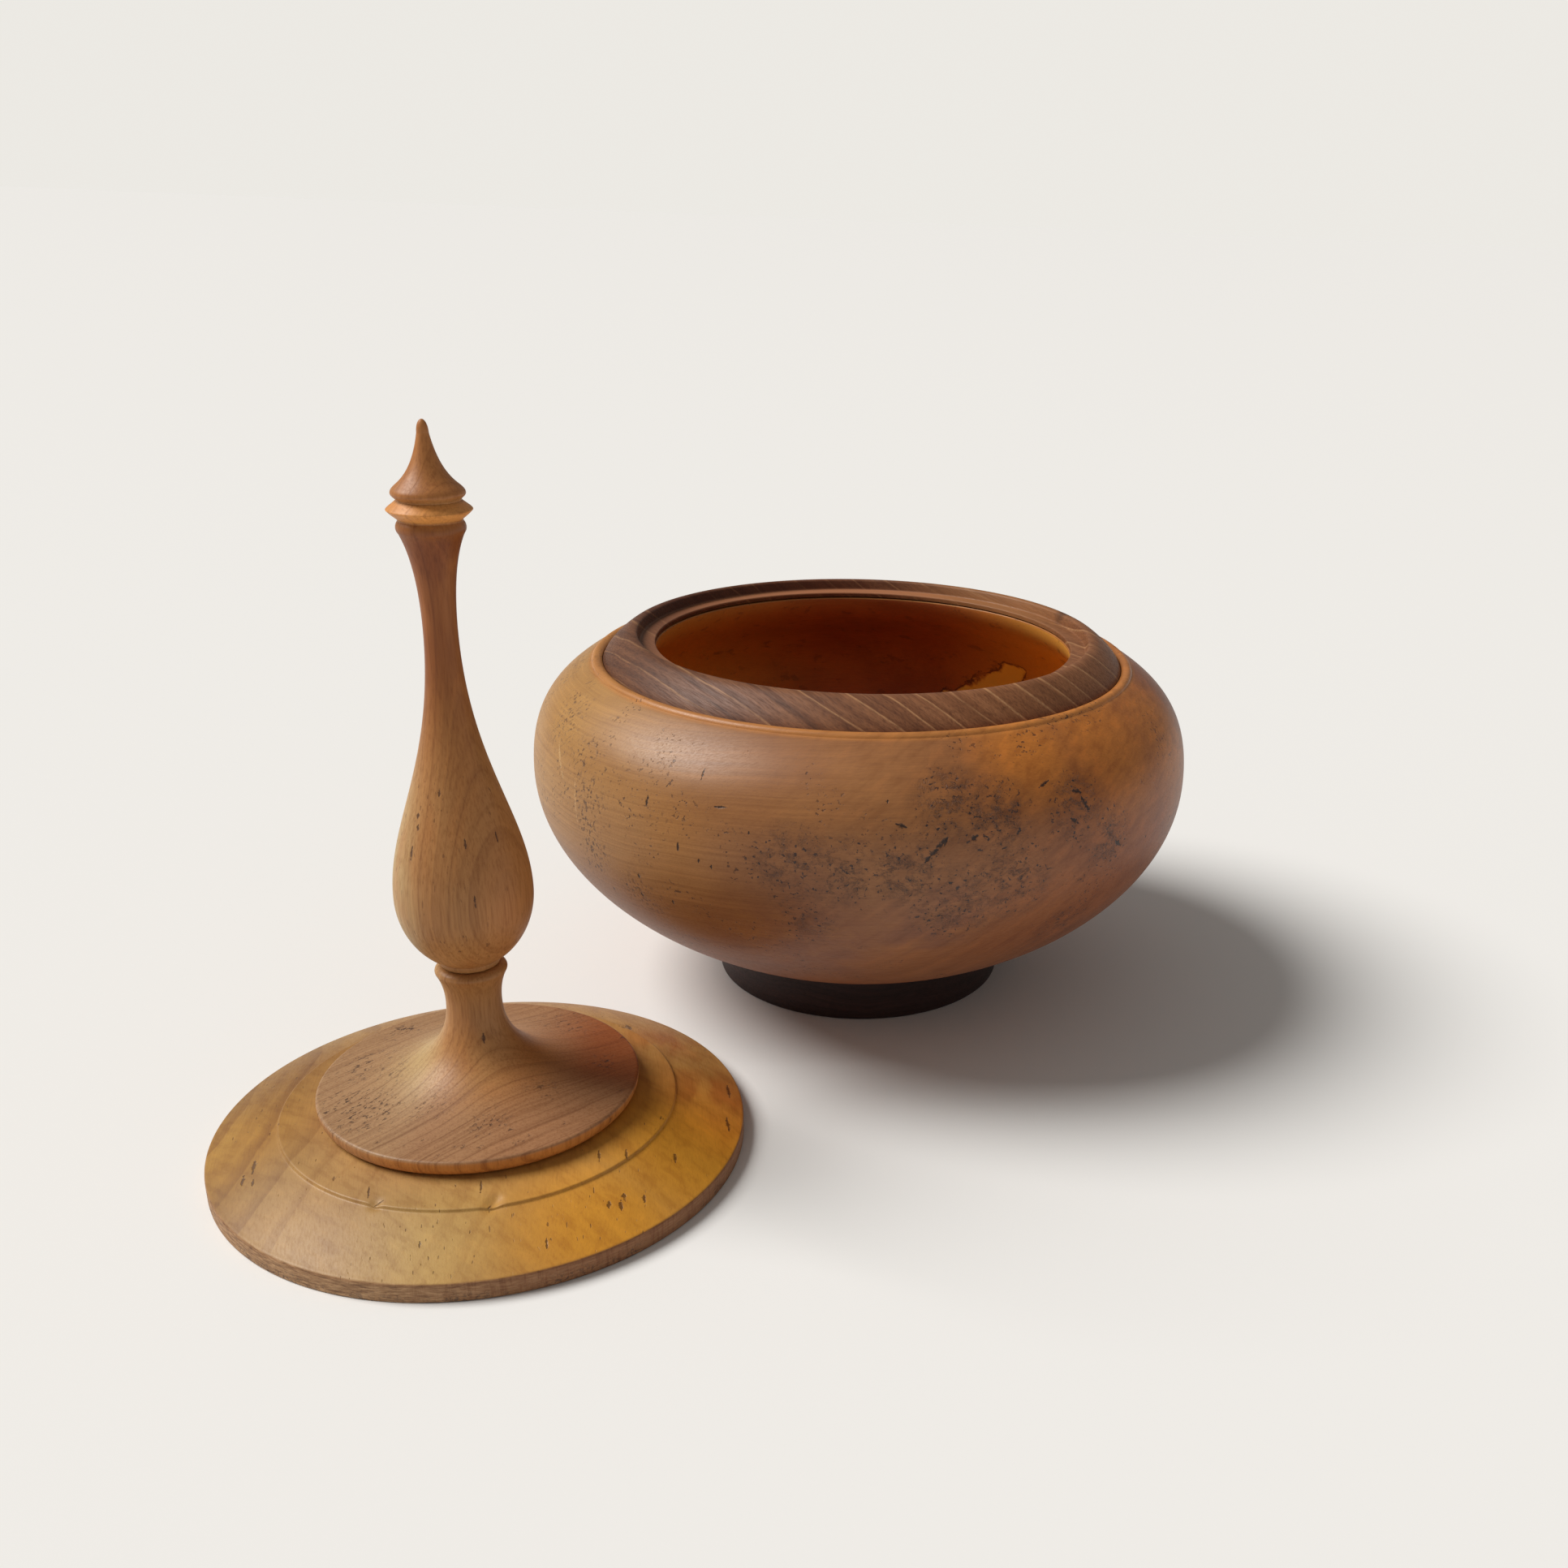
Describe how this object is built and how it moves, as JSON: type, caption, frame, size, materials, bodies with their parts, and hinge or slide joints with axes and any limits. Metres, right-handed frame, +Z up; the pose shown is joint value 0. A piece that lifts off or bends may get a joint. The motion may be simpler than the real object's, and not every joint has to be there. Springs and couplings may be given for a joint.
{
  "type": "lidded wooden bowl",
  "caption": "Squat turned wooden bowl with a rim ring and a foot. Its drop-in lid with a tall finial stands beside it.",
  "frame": {"origin": "centre of the bowl foot's flat underside, on the surface that the bowl and its lid stand on", "axes": "+Z up along the bowl's turning axis, +Y away from the viewer and +X to the right, with the lid standing towards -X and -Y"},
  "size_m": [0.1836, 0.2036, 0.1304],
  "materials": {
    "spalted_maple": "satin",
    "walnut": "satin",
    "dark_walnut": "satin",
    "golden_maple": "satin",
    "pale_maple": "satin"
  },
  "bodies": {
    "bowl": {"bowl_body": "spalted_maple", "rim_ring": "walnut", "foot": "dark_walnut"},
    "lid": {"lid_disc": "golden_maple", "finial_base": "pale_maple", "finial_spire": "pale_maple"}
  },
  "joints": [
    {"name": "lid_lift", "type": "slide", "parent": "bowl", "child": "lid", "axis": [-0.4289, -0.5622, 0.7071], "range_m": [0, 0.12]}
  ]
}
